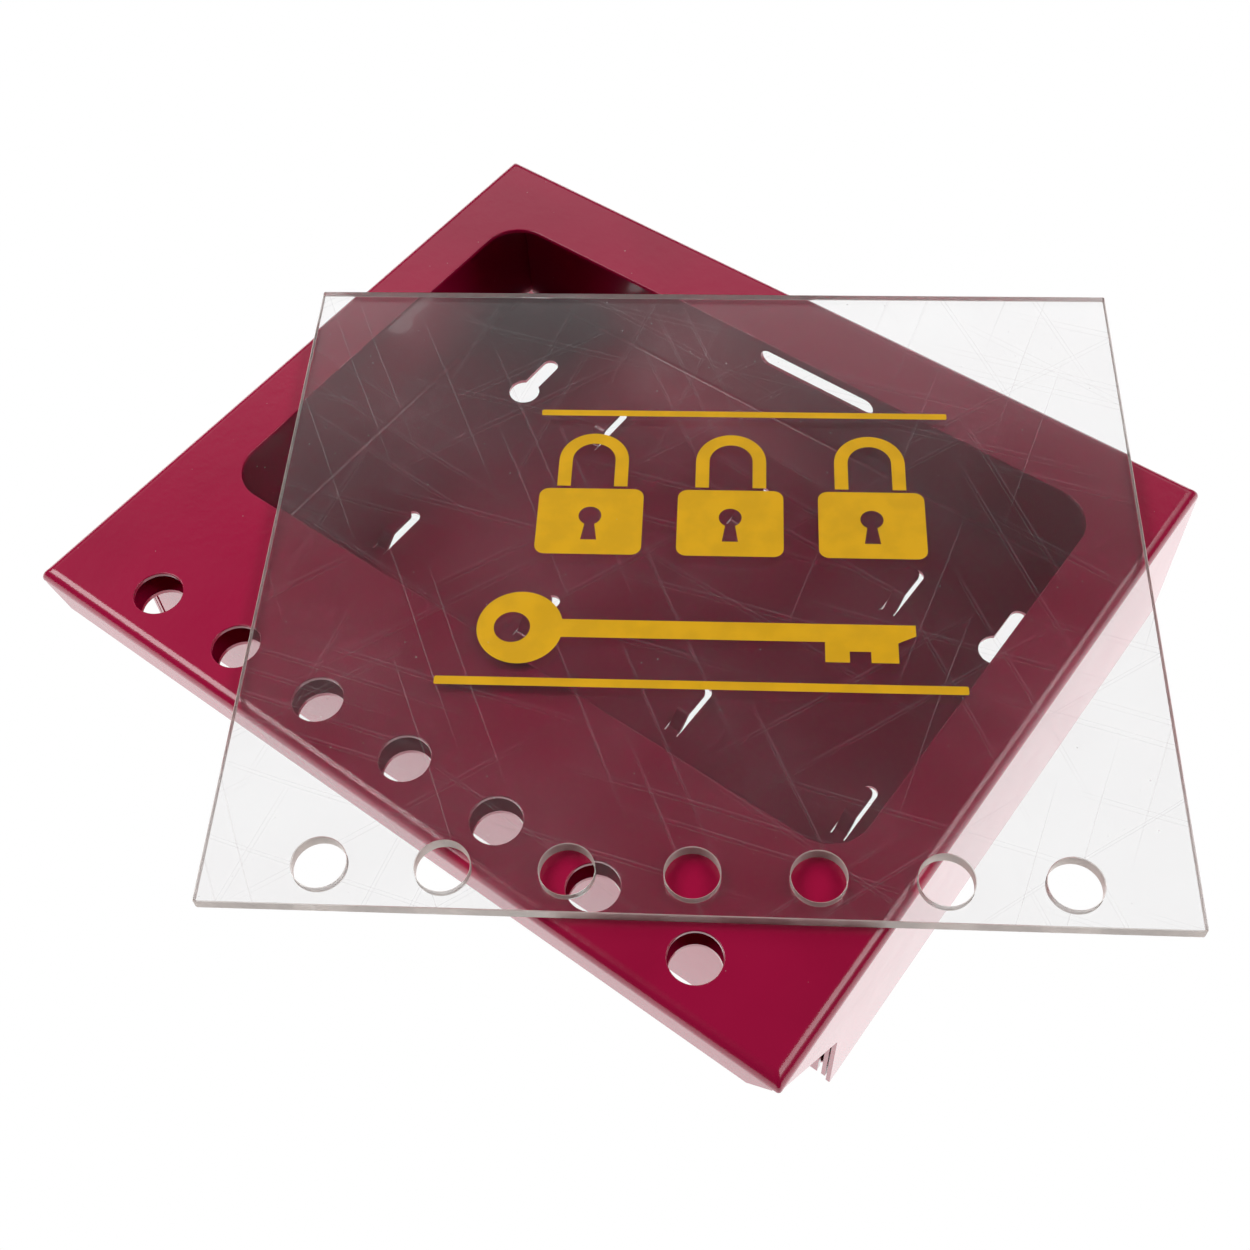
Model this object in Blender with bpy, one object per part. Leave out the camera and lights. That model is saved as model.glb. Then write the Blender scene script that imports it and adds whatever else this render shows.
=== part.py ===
"""Group lockout box: a folded steel shell with a window, the hook tray it closes over,
and the clear cover that slips in behind the window.

The box lies on its back. X runs across it, Y runs up its height as it hangs on a wall,
and Z runs out of its face. The origin is the centre of the tray's rear face.
All sizes are in metres. Heights are measured from the face's bottom edge.
"""

import math

import bmesh
import bpy
from mathutils import Vector

# Overall box and sheet
BOX_WIDTH = 0.313
BOX_HEIGHT = 0.266
BOX_DEPTH = 0.0762
SHEET = 0.0015
SHELL_BEND = 0.0045
SHELL_CORNER = 0.0012
COATED_EDGE = 0.0003
WALL_BACK_GAP = 0.0003
SEAM = 0.0003

# Window in the shell's face
WINDOW_SIDE_MARGIN = 0.0235
WINDOW_BOTTOM_MARGIN = 0.0694
WINDOW_TOP_MARGIN = 0.0309
WINDOW_RADIUS = 0.015

# Padlock holes, in line through shell, cover and rail
LOCK_COUNT = 7
LOCK_PITCH = 0.0381
LOCK_DIAMETER = 0.017
LOCK_HEIGHT = 0.0181

# Lip below the padlock holes, and the cut of the side walls behind it
LIP_DEPTH = 0.0137
LIP_MITRE = 0.0112
CUT_HEIGHT = 0.0345
CUT_DEPTH = 0.0385
FOOT_RISE = 0.001

# Slot for dropping keys, in the tray's top flange; the shell's slot round it is wider
KEY_SLOT_LENGTH = 0.054
KEY_SLOT_WIDTH = 0.008
KEY_SLOT_BACK = 0.035
KEY_SLOT_CLEARANCE = 0.004

# Tray
TRAY_GAP = 0.0005
TRAY_BEND = 0.003
RELIEF_RADIUS = 0.0024
RELIEF_INSET = 0.0007
RAIL_EDGE_PLAY = 0.002

# Key hooks, lanced out of the tray's back
LOW_HOOKS = 4
HIGH_HOOKS = 3
HOOK_PITCH = 0.0737
LOW_HOOK_HEIGHT = 0.1105
HIGH_HOOK_DROP = 0.062
HOOK_SLOT_LENGTH = 0.0245
HOOK_SLOT_WIDTH = 0.006
HOOK_SIDE_PLAY = 0.0005
HOOK_OFFSET = 0.0055
HOOK_REACH = 0.0205
HOOK_BEND = 0.0025

# Keyholes for hanging the tray on two screws
KEYHOLE_INSET = 0.040
KEYHOLE_DROP = 0.035
KEYHOLE_TRAVEL = 0.018
KEYHOLE_HEAD_DIAMETER = 0.013
KEYHOLE_NECK_WIDTH = 0.007

# Clear cover, and where it lies on the face
COVER_THICKNESS = 0.00476
COVER_SIDE_PLAY = 0.0041
COVER_BOTTOM_PLAY = 0.0025
COVER_TOP_PLAY = 0.0005
COVER_SLOT_PLAY = 0.0036
COVER_CHAMFER = 0.00025
COVER_REST_GAP = 0.0003
COVER_ACROSS = 0.1384
COVER_ALONG = -0.0582
COVER_TURN = math.radians(34.1)

# Facets and cutters
BEND_STEPS = 6
CORNER_STEPS = 2
HOLE_STEPS = 40
END_STEPS = 12
OVERRUN = 0.001

# Places worked out from the sizes above
HALF_WIDTH = BOX_WIDTH / 2
HALF_HEIGHT = BOX_HEIGHT / 2
FACE = BOX_DEPTH
BOTTOM = -HALF_HEIGHT
TOP = HALF_HEIGHT
LOCK_ROW = BOTTOM + LOCK_HEIGHT
TRAY_HALF = HALF_WIDTH - SHEET - TRAY_GAP
TRAY_TOP = TOP - SHEET - TRAY_GAP
SHELF = BOTTOM + CUT_HEIGHT
RAIL_FRONT = FACE - SHEET - COVER_THICKNESS - COVER_SLOT_PLAY
RAIL_END = BOTTOM + SHEET + RAIL_EDGE_PLAY
SIDE_LINE = TRAY_HALF - TRAY_BEND
TOP_LINE = TRAY_TOP - TRAY_BEND
SHELF_LINE = SHELF + TRAY_BEND
COVER_WIDTH = BOX_WIDTH - 2 * (SHEET + COVER_SIDE_PLAY)
COVER_HEIGHT = BOX_HEIGHT - 2 * SHEET - COVER_BOTTOM_PLAY - COVER_TOP_PLAY
COVER_LOCK_ROW = LOCK_HEIGHT - SHEET - COVER_BOTTOM_PLAY

# Finishes
COAT_COLOUR = (0.352, 0.006, 0.041, 1.0)
CLEAR_COLOUR = (0.92, 0.93, 0.94, 1.0)


def clear_scene():
    for old in list(bpy.data.objects):
        bpy.data.objects.remove(old, do_unlink=True)


def coat_material():
    """Gloss crimson powder coat."""
    material = bpy.data.materials.new("crimson_powder_coat")
    material.use_nodes = True
    shader = material.node_tree.nodes["Principled BSDF"]
    shader.inputs["Base Color"].default_value = COAT_COLOUR
    shader.inputs["Roughness"].default_value = 0.22
    shader.inputs["Metallic"].default_value = 0.0
    return material


def clear_material():
    """Cast acrylic sheet."""
    material = bpy.data.materials.new("clear_acrylic")
    material.use_nodes = True
    shader = material.node_tree.nodes["Principled BSDF"]
    shader.inputs["Base Color"].default_value = CLEAR_COLOUR
    shader.inputs["Roughness"].default_value = 0.04
    shader.inputs["Metallic"].default_value = 0.0
    shader.inputs["IOR"].default_value = 1.49
    shader.inputs["Transmission Weight"].default_value = 1.0
    return material


def arc(centre, radius, start, end, steps):
    """Points along an arc, from one angle to another, both included."""
    points = []
    for step in range(steps + 1):
        angle = start + (end - start) * step / steps
        points.append((centre[0] + radius * math.cos(angle), centre[1] + radius * math.sin(angle)))
    return points


def circle(centre, radius):
    """A round hole's outline."""
    return arc(centre, radius, 0, 2 * math.pi, HOLE_STEPS)[:-1]


def rounded_rectangle(low, high, radius, steps):
    """An outline between two corners, its own corners rounded."""
    quarter = math.pi / 2
    centres = [
        (high[0] - radius, high[1] - radius),
        (low[0] + radius, high[1] - radius),
        (low[0] + radius, low[1] + radius),
        (high[0] - radius, low[1] + radius),
    ]
    points = []
    for index, centre in enumerate(centres):
        points += arc(centre, radius, index * quarter, (index + 1) * quarter, steps)
    return points


def grown(outline, amount):
    """An outline moved outwards along its corners by an amount."""
    count = len(outline)
    points = []
    for index, point in enumerate(outline):
        here = Vector(point)
        before = (here - Vector(outline[index - 1])).normalized()
        after = (Vector(outline[(index + 1) % count]) - here).normalized()
        out_before = Vector((before.y, -before.x))
        out_after = Vector((after.y, -after.x))
        bisector = (out_before + out_after).normalized()
        points.append(tuple(here + bisector * amount / bisector.dot(out_after)))
    return points


def bent_path(corners, radius, steps):
    """A sheet's middle line through its corners, each corner rounded to a radius."""
    points = [Vector(corners[0])]
    for before, corner, after in zip(corners, corners[1:], corners[2:]):
        corner = Vector(corner)
        inward = (Vector(before) - corner).normalized()
        outward = (Vector(after) - corner).normalized()
        half = inward.angle(outward) / 2
        reach = radius / math.tan(half)
        centre = corner + (inward + outward).normalized() * radius / math.sin(half)
        start = corner + inward * reach - centre
        end = corner + outward * reach - centre
        turn = start.angle_signed(end)
        for step in range(steps + 1):
            angle = -turn * step / steps
            turned = Vector((
                start.x * math.cos(angle) - start.y * math.sin(angle),
                start.x * math.sin(angle) + start.y * math.cos(angle),
            ))
            points.append(centre + turned)
    points.append(Vector(corners[-1]))
    return points


def placed(point, height, plane):
    """A point of a drawing plane, lifted off it, in the box's own frame."""
    across, up = point
    if plane == "XY":
        return (across, up, height)
    if plane == "YZ":
        return (height, across, up)
    return (across, height, up)


def add_loft(bm, rings, plane):
    """A closed body through rings of points; each ring is (outline, height)."""
    loops = []
    for outline, height in rings:
        loops.append([bm.verts.new(placed(point, height, plane)) for point in outline])
    count = len(loops[0])
    for lower, upper in zip(loops, loops[1:]):
        for index in range(count):
            following = (index + 1) % count
            bm.faces.new((lower[index], lower[following], upper[following], upper[index]))
    bm.faces.new(loops[0][::-1])
    bm.faces.new(loops[-1])


def add_prism(bm, outline, low, high, plane="XY"):
    """A straight body with one outline."""
    add_loft(bm, [(outline, low), (outline, high)], plane)


def new_object(name, bm, material=None):
    """An object from a finished bmesh, its faces turned outwards."""
    bmesh.ops.recalc_face_normals(bm, faces=bm.faces)
    mesh = bpy.data.meshes.new(name)
    bm.to_mesh(mesh)
    bm.free()
    if material:
        mesh.materials.append(material)
    made = bpy.data.objects.new(name, mesh)
    bpy.context.scene.collection.objects.link(made)
    return made


def combine(target, tool, operation):
    """Cut a tool out of an object, or join it on, and take the tool away."""
    tool.hide_render = True
    tool.display_type = "WIRE"
    boolean = target.modifiers.new(tool.name, "BOOLEAN")
    boolean.operation = operation
    boolean.object = tool
    view = bpy.context.evaluated_depsgraph_get()
    result = bpy.data.meshes.new_from_object(target.evaluated_get(view), depsgraph=view)
    target.modifiers.clear()
    target.data = result
    bpy.data.objects.remove(tool, do_unlink=True)


def smooth_round_faces(target):
    target.data.shade_smooth()
    target.data.set_sharp_from_angle(angle=math.radians(30))


def add_block(name, low, high):
    """A plain block between two corners."""
    bm = bmesh.new()
    outline = [(low[0], low[1]), (high[0], low[1]), (high[0], high[1]), (low[0], high[1])]
    add_prism(bm, outline, low[2], high[2])
    return new_object(name, bm)


def part_within(sheet, name, low, high):
    """The part of a folded sheet that lies in a block, as an object of its own."""
    part = bpy.data.objects.new(name, sheet.data.copy())
    bpy.context.scene.collection.objects.link(part)
    combine(part, add_block("block", low, high), "INTERSECT")
    smooth_round_faces(part)
    return part


def lock_places():
    """The padlock holes' distances from the middle, left to right."""
    first = -LOCK_PITCH * (LOCK_COUNT - 1) / 2
    return [first + LOCK_PITCH * index for index in range(LOCK_COUNT)]


def pan_rings(half_width, low, high, back, front, bend):
    """Rings of a box whose front edges are bent to a radius."""
    rings = []

    def ring(inset, height):
        outline = rounded_rectangle(
            (-half_width + inset, low + inset),
            (half_width - inset, high - inset),
            SHELL_CORNER,
            CORNER_STEPS,
        )
        rings.append((outline, height))

    ring(0, back)
    for step in range(BEND_STEPS + 1):
        angle = math.pi / 2 * step / BEND_STEPS
        ring(bend * (1 - math.cos(angle)), front - bend * (1 - math.sin(angle)))
    return rings


def shell_blank(material):
    """The folded sheet: a face with four walls, open at the back."""
    bm = bmesh.new()
    add_loft(bm, pan_rings(HALF_WIDTH, BOTTOM, TOP, WALL_BACK_GAP, FACE, SHELL_BEND), "XY")
    shell = new_object("front_shell", bm, material)
    bm = bmesh.new()
    rings = pan_rings(
        HALF_WIDTH - SHEET,
        BOTTOM + SHEET,
        TOP - SHEET,
        WALL_BACK_GAP - OVERRUN,
        FACE - SHEET,
        SHELL_BEND - SHEET,
    )
    add_loft(bm, rings, "XY")
    combine(shell, new_object("shell_hollow", bm), "DIFFERENCE")
    return shell


def add_coated_cut(bm, outline, low, high):
    """A cut through the face, its front edge eased as the coating leaves it."""
    eased = grown(outline, COATED_EDGE)
    rings = [(outline, low), (outline, high - COATED_EDGE), (eased, high), (eased, high + OVERRUN)]
    add_loft(bm, rings, "XY")


def cut_face(shell):
    """The window and the padlock holes."""
    bm = bmesh.new()
    low = (-HALF_WIDTH + WINDOW_SIDE_MARGIN, BOTTOM + WINDOW_BOTTOM_MARGIN)
    high = (HALF_WIDTH - WINDOW_SIDE_MARGIN, TOP - WINDOW_TOP_MARGIN)
    window = rounded_rectangle(low, high, WINDOW_RADIUS, END_STEPS)
    behind = FACE - SHEET - OVERRUN
    add_coated_cut(bm, window, behind, FACE)
    for across in lock_places():
        add_coated_cut(bm, circle((across, LOCK_ROW), LOCK_DIAMETER / 2), behind, FACE)
    combine(shell, new_object("face_cuts", bm), "DIFFERENCE")


def cut_walls(shell):
    """The side walls' slanted foot, and the lip's depth and mitred ends."""
    bm = bmesh.new()
    foot = [
        (BOTTOM - OVERRUN, FACE - SHELL_BEND),
        (BOTTOM + SHEET + FOOT_RISE, FACE - SHELL_BEND),
        (SHELF, FACE - CUT_DEPTH),
        (SHELF, WALL_BACK_GAP - OVERRUN),
        (BOTTOM - OVERRUN, WALL_BACK_GAP - OVERRUN),
    ]
    for side in (-1, 1):
        wall = sorted((side * (HALF_WIDTH + OVERRUN), side * (HALF_WIDTH - SHEET - OVERRUN)))
        add_prism(bm, foot, wall[0], wall[1], "YZ")
    combine(shell, new_object("wall_feet", bm), "DIFFERENCE")
    bm = bmesh.new()
    lip = [
        (-HALF_WIDTH - OVERRUN, WALL_BACK_GAP - OVERRUN),
        (HALF_WIDTH + OVERRUN, WALL_BACK_GAP - OVERRUN),
        (HALF_WIDTH + OVERRUN, FACE - SHELL_BEND),
        (HALF_WIDTH - SHEET, FACE - SHELL_BEND),
        (HALF_WIDTH - LIP_MITRE, FACE - LIP_DEPTH),
        (-HALF_WIDTH + LIP_MITRE, FACE - LIP_DEPTH),
        (-HALF_WIDTH + SHEET, FACE - SHELL_BEND),
        (-HALF_WIDTH - OVERRUN, FACE - SHELL_BEND),
    ]
    add_prism(bm, lip, BOTTOM - OVERRUN, BOTTOM + SHEET + COATED_EDGE, "XZ")
    combine(shell, new_object("lip_trim", bm), "DIFFERENCE")


def cut_key_slot(target, low, high, clearance):
    """The key slot, through whatever wall lies between two heights."""
    radius = KEY_SLOT_WIDTH / 2 + clearance
    half = KEY_SLOT_LENGTH / 2 + clearance
    outline = rounded_rectangle(
        (-half, KEY_SLOT_BACK - radius), (half, KEY_SLOT_BACK + radius), radius, END_STEPS
    )
    bm = bmesh.new()
    add_prism(bm, outline, low, high, "XZ")
    combine(target, new_object("key_slot", bm), "DIFFERENCE")


def divide_shell(shell):
    """The folded shell as its face with the bends and lip, and its three walls.

    They are one sheet. A narrow seam below the bends lets each have its own node.
    """
    past = OVERRUN
    bend_line = FACE - SHELL_BEND
    foot = BOTTOM + SHEET + FOOT_RISE / 2
    corner = TOP - SHEET - OVERRUN
    inner = HALF_WIDTH - SHEET - past
    outer = HALF_WIDTH + past
    top = bend_line - SEAM * 2
    back = WALL_BACK_GAP - past
    parts = [
        part_within(shell, "shell_left", (-outer, foot, back), (-inner, corner - SEAM, top)),
        part_within(shell, "shell_right", (inner, foot, back), (outer, corner - SEAM, top)),
        part_within(shell, "shell_top", (-outer, corner, back), (outer, TOP + past, top)),
    ]
    shell.name = "shell_face"
    for low, high in (
        ((-outer, foot, back), (-inner, TOP + past, top + SEAM)),
        ((inner, foot, back), (outer, TOP + past, top + SEAM)),
        ((-outer, corner, back), (outer, TOP + past, top + SEAM)),
    ):
        combine(shell, add_block("block", low, high), "DIFFERENCE")
    smooth_round_faces(shell)
    return [shell, *parts]


def make_shell(material):
    shell = shell_blank(material)
    cut_walls(shell)
    cut_face(shell)
    cut_key_slot(shell, TOP - SHEET - TRAY_GAP / 2, TOP + OVERRUN, KEY_SLOT_CLEARANCE)
    return divide_shell(shell)


def hook_places():
    """The foot of each hook's slot, as (across, up)."""
    places = []
    rows = ((LOW_HOOKS, BOTTOM + LOW_HOOK_HEIGHT), (HIGH_HOOKS, TOP - HIGH_HOOK_DROP))
    for count, height in rows:
        for index in range(count):
            places.append((HOOK_PITCH * (index - (count - 1) / 2), height))
    return places


def fill_round_holes(bm, loops):
    """Faces that fill the first loop of vertices and leave the others open."""
    edges = []
    for loop in loops:
        for index, corner in enumerate(loop):
            edges.append(bm.edges.new((loop[index - 1], corner)))
    bmesh.ops.triangle_fill(bm, edges=edges, use_beauty=True)


def fold_strip(bm, edge, places):
    """A strip of sheet that leaves an edge; each place gives the next row's two ends."""
    row = edge
    for ends in places:
        following = [bm.verts.new(end) for end in ends]
        bm.faces.new((row[0], row[1], following[1], following[0]))
        row = following
    return row


def add_back_panel(bm):
    """The tray's flat back with its hook slots; gives its corners and the tongues' feet."""
    middle = SHEET / 2
    low = (-SIDE_LINE, SHELF_LINE)
    high = (SIDE_LINE, TOP_LINE)
    corners = [(low[0], low[1]), (high[0], low[1]), (high[0], high[1]), (low[0], high[1])]
    loops = [[bm.verts.new((across, up, middle)) for across, up in corners]]
    feet = []
    radius = HOOK_SLOT_WIDTH / 2
    tongue = radius - HOOK_SIDE_PLAY
    for across, up in hook_places():
        head = arc((across, up + HOOK_SLOT_LENGTH - radius), radius, 0, math.pi, END_STEPS)
        slot = [(across - radius, up), (across - tongue, up), (across + tongue, up)]
        slot += [(across + radius, up)] + head
        loop = [bm.verts.new((x, y, middle)) for x, y in slot]
        loops.append(loop)
        feet.append((loop[1], loop[2]))
    fill_round_holes(bm, loops)
    return loops[0], feet


def add_tongue(bm, foot, across, up):
    """A hook: it leaves the slot's foot, steps forward and runs up to a round tip."""
    middle = SHEET / 2
    half = HOOK_SLOT_WIDTH / 2 - HOOK_SIDE_PLAY
    raised = middle + HOOK_OFFSET
    corners = [
        (up, middle),
        (up + HOOK_BEND, middle),
        (up + HOOK_BEND + HOOK_OFFSET, raised),
        (up + HOOK_REACH - half, raised),
    ]
    places = []
    for point in bent_path(corners, HOOK_BEND, BEND_STEPS // 2)[1:]:
        places.append(((across - half, *point), (across + half, *point)))
    for step in range(1, BEND_STEPS):
        angle = math.pi / 2 * step / BEND_STEPS
        width = half * math.cos(angle)
        height = up + HOOK_REACH - half + half * math.sin(angle)
        places.append(((across - width, height, raised), (across + width, height, raised)))
    fold_strip(bm, foot, places)


def add_side_flange(bm, edge, side):
    """A flange that stands inside the shell's side wall, as long as the shelf is deep."""
    middle = SHEET / 2
    corners = [(0, middle), (TRAY_HALF - middle, middle), (TRAY_HALF - middle, RAIL_FRONT)]
    places = []
    for across, height in bent_path(corners, TRAY_BEND - middle, BEND_STEPS)[2:-1]:
        places.append(((side * across, SHELF_LINE, height), (side * across, TOP_LINE, height)))
    low, high = fold_strip(bm, edge, places)
    across = low.co.x
    foot = low.co.z
    flange = [(SHELF, foot), (SHELF, RAIL_FRONT), (TRAY_TOP, RAIL_FRONT), (TRAY_TOP, foot)]
    outer = [bm.verts.new((across, up, height)) for up, height in flange]
    bm.faces.new([low, *outer, high])


def add_cross_flange(bm, edge, corners):
    """A flange that runs across the tray, folded through corners given as (up, height)."""
    middle = SHEET / 2
    places = []
    for up, height in bent_path(corners, TRAY_BEND - middle, BEND_STEPS)[2:]:
        places.append(((-SIDE_LINE, up, height), (SIDE_LINE, up, height)))
    fold_strip(bm, edge, places)


def tray_sheet(material):
    """The tray's whole sheet, folded as a middle surface and then given its thickness."""
    middle = SHEET / 2
    bm = bmesh.new()
    panel, feet = add_back_panel(bm)
    low_left, low_right, high_right, high_left = panel
    for foot, (across, up) in zip(feet, hook_places()):
        add_tongue(bm, foot, across, up)
    add_side_flange(bm, (low_left, high_left), -1)
    add_side_flange(bm, (low_right, high_right), 1)
    top_edge = (TRAY_TOP - middle, RAIL_FRONT)
    add_cross_flange(bm, (high_left, high_right), [(0, middle), (TRAY_TOP - middle, middle), top_edge])
    shelf_back = (SHELF + middle, middle)
    shelf_front = (SHELF + middle, RAIL_FRONT - middle)
    rail_end = (RAIL_END, RAIL_FRONT - middle)
    add_cross_flange(bm, (low_left, low_right), [(0, middle), shelf_back, shelf_front, rail_end])
    tray = new_object("back_tray", bm, material)
    sheet = tray.modifiers.new("sheet", "SOLIDIFY")
    sheet.thickness = SHEET
    sheet.offset = 0
    sheet.use_even_offset = True
    return tray


def cut_reliefs(tray):
    """Round reliefs where two bends meet, at the back's corners."""
    bm = bmesh.new()
    for side in (-1, 1):
        for up in (SHELF_LINE - RELIEF_INSET, TOP_LINE + RELIEF_INSET):
            centre = (side * (SIDE_LINE + RELIEF_INSET), up)
            add_prism(bm, circle(centre, RELIEF_RADIUS), -OVERRUN, TRAY_BEND + OVERRUN)
    combine(tray, new_object("corner_reliefs", bm), "DIFFERENCE")


def keyhole_outline(side):
    """A round head that takes a screw's head, and a neck that runs up from it."""
    across = side * (HALF_WIDTH - KEYHOLE_INSET)
    seat = TOP - KEYHOLE_DROP
    head_radius = KEYHOLE_HEAD_DIAMETER / 2
    neck_radius = KEYHOLE_NECK_WIDTH / 2
    meeting = math.acos(neck_radius / head_radius)
    start = math.pi - meeting
    head = arc((across, seat - KEYHOLE_TRAVEL), head_radius, start, 2 * math.pi + meeting, HOLE_STEPS)
    return head + arc((across, seat), neck_radius, 0, math.pi, END_STEPS)


def cut_holes(tray):
    """Keyholes in the back and padlock holes in the rail."""
    bm = bmesh.new()
    for side in (-1, 1):
        add_prism(bm, keyhole_outline(side), -OVERRUN, SHEET + OVERRUN)
    for across in lock_places():
        hole = circle((across, LOCK_ROW), LOCK_DIAMETER / 2)
        add_prism(bm, hole, RAIL_FRONT - SHEET - OVERRUN, RAIL_FRONT + OVERRUN)
    combine(tray, new_object("tray_holes", bm), "DIFFERENCE")


def divide_tray(tray):
    """The folded tray as its back with the hooks, its rail with the shelf, and its flanges.

    They are one sheet. A narrow seam along each bend line lets each have its own node.
    """
    past = OVERRUN
    half = SEAM / 2
    front = FACE
    across = SIDE_LINE + TRAY_GAP
    outer = TRAY_HALF + past
    low_side = SHELF - past
    parts = [
        part_within(
            tray,
            "tray_back",
            (half - SIDE_LINE, SHELF_LINE + half, -past),
            (SIDE_LINE - half, TOP_LINE - half, front),
        ),
        part_within(
            tray, "tray_rail", (-across, BOTTOM, -past), (across, SHELF_LINE - half, front)
        ),
        part_within(
            tray, "tray_top", (-across, TOP_LINE + half, -past), (across, TRAY_TOP + past, front)
        ),
        part_within(
            tray,
            "tray_left",
            (-outer, low_side, -past),
            (-SIDE_LINE - half, TRAY_TOP + past, front),
        ),
        part_within(
            tray,
            "tray_right",
            (SIDE_LINE + half, low_side, -past),
            (outer, TRAY_TOP + past, front),
        ),
    ]
    bpy.data.objects.remove(tray, do_unlink=True)
    return parts


def make_tray(material):
    tray = tray_sheet(material)
    cut_reliefs(tray)
    cut_holes(tray)
    cut_key_slot(tray, TRAY_TOP - SHEET - OVERRUN, TRAY_TOP + TRAY_GAP / 2, 0)
    return divide_tray(tray)


def eased_plate_rings(outline, low, high):
    """Rings of a plate whose edges have a small chamfer at both faces."""
    return [
        (outline, low),
        (grown(outline, COVER_CHAMFER), low + COVER_CHAMFER),
        (grown(outline, COVER_CHAMFER), high - COVER_CHAMFER),
        (outline, high),
    ]


def make_cover(material):
    """The clear plate, made square to its own origin at its lower middle."""
    half = COVER_WIDTH / 2
    inset = COVER_CHAMFER
    small = [(-half + inset, inset), (half - inset, inset)]
    small += [(half - inset, COVER_HEIGHT - inset), (-half + inset, COVER_HEIGHT - inset)]
    bm = bmesh.new()
    add_loft(bm, eased_plate_rings(small, 0, COVER_THICKNESS), "XY")
    cover = new_object("clear_cover", bm, material)
    bm = bmesh.new()
    for across in lock_places():
        hole = circle((across, COVER_LOCK_ROW), LOCK_DIAMETER / 2)
        wide = grown(hole, COVER_CHAMFER)
        rings = [
            (wide, -OVERRUN),
            (wide, 0),
            (hole, COVER_CHAMFER),
            (hole, COVER_THICKNESS - COVER_CHAMFER),
            (wide, COVER_THICKNESS),
            (wide, COVER_THICKNESS + OVERRUN),
        ]
        add_loft(bm, rings, "XY")
    combine(cover, new_object("cover_holes", bm), "DIFFERENCE")
    smooth_round_faces(cover)
    return cover


def lay_on_face(cover):
    """Turn the cover on the face, with its lower left corner at its measured place."""
    corner = Vector((-HALF_WIDTH + COVER_ACROSS, BOTTOM + COVER_ALONG))
    along = Vector((math.cos(COVER_TURN), math.sin(COVER_TURN)))
    middle = corner + along * COVER_WIDTH / 2
    cover.location = (middle.x, middle.y, FACE + COVER_REST_GAP)
    cover.rotation_euler = (0, 0, COVER_TURN)


def add_empty(name, parent=None):
    empty = bpy.data.objects.new(name, None)
    bpy.context.scene.collection.objects.link(empty)
    empty.parent = parent
    return empty


def main():
    clear_scene()
    coat = coat_material()
    clear = clear_material()
    box = add_empty("lockout_box")
    shell_slide = add_empty("shell_slide", box)
    for part in make_tray(coat):
        part.parent = box
    for part in make_shell(coat):
        part.parent = shell_slide
    cover = make_cover(clear)
    lay_on_face(cover)
    cover.parent = shell_slide


main()
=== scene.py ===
"""Looks of a group lockout box: two folded, powder-coated sheets, a clear cover and its print."""

import math

import bmesh
import bpy
from bpy.props import FloatProperty, FloatVectorProperty, IntProperty, PointerProperty
from mathutils import Matrix, Vector


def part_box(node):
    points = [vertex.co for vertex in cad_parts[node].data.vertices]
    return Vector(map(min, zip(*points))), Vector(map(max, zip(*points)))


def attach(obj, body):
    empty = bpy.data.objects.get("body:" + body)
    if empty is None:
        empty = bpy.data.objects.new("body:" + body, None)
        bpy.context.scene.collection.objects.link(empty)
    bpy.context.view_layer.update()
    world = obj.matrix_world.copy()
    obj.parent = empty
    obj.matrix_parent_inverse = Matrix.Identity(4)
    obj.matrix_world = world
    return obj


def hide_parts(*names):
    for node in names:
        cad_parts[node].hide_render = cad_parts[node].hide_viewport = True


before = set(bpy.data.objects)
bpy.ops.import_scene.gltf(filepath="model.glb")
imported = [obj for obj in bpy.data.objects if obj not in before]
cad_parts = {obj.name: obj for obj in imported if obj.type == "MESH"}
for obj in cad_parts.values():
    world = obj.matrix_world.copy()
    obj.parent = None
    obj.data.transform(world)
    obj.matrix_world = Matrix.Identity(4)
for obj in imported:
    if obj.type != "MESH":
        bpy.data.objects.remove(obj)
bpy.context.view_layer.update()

bl_info = {
    "name": "Group lockout box",
    "version": (1, 0, 0),
    "blender": (4, 5, 0),
    "location": "3D View > Sidebar > Lockout",
    "description": "Builds the visible sheets, clear cover, print and studio of a lockout box",
    "category": "Object",
}

SHELL_NODES = ("shell_face", "shell_top", "shell_left", "shell_right")
TRAY_NODES = ("tray_back", "tray_rail", "tray_top", "tray_left", "tray_right")
SHELL_LOW, SHELL_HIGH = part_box("shell_face")
RAIL_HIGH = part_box("tray_rail")[1]
COVER_LOW, COVER_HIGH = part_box("clear_cover")

# Facets of the visible meshes
BEND_STEPS = 12
CORNER_STEPS = 5
HOLE_STEPS = 96
END_STEPS = 24
TONGUE_STEPS = 8
EASE_STEPS = 3
SMOOTH_BELOW = math.radians(32)

# Small sizes that a user has no call to change
OVERRUN = 0.001
COATED_EDGE = 0.0004
SHELL_CORNER = 0.0012
WALL_BACK_GAP = 0.0003
TRAY_GAP = 0.0005
RELIEF_RADIUS = 0.0024
RELIEF_INSET = 0.0007
RAIL_EDGE_PLAY = 0.002
HOOK_SIDE_PLAY = 0.0005
FOOT_RISE = 0.001
FLOOR_GAP = 0.0002
INK_RAISE = 0.00003

# The camera, solved from the photograph's straight edges and hole centres
CAMERA_PLACE = Vector((0.22546, -0.26915, 0.52686))
CAMERA_FORWARD = Vector((-0.36497, 0.43403, -0.82366))
CAMERA_UP = Vector((-0.47801, 0.67182, 0.56583))
CAMERA_LENS = 46.68
CAMERA_SENSOR = 36.0

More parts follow.
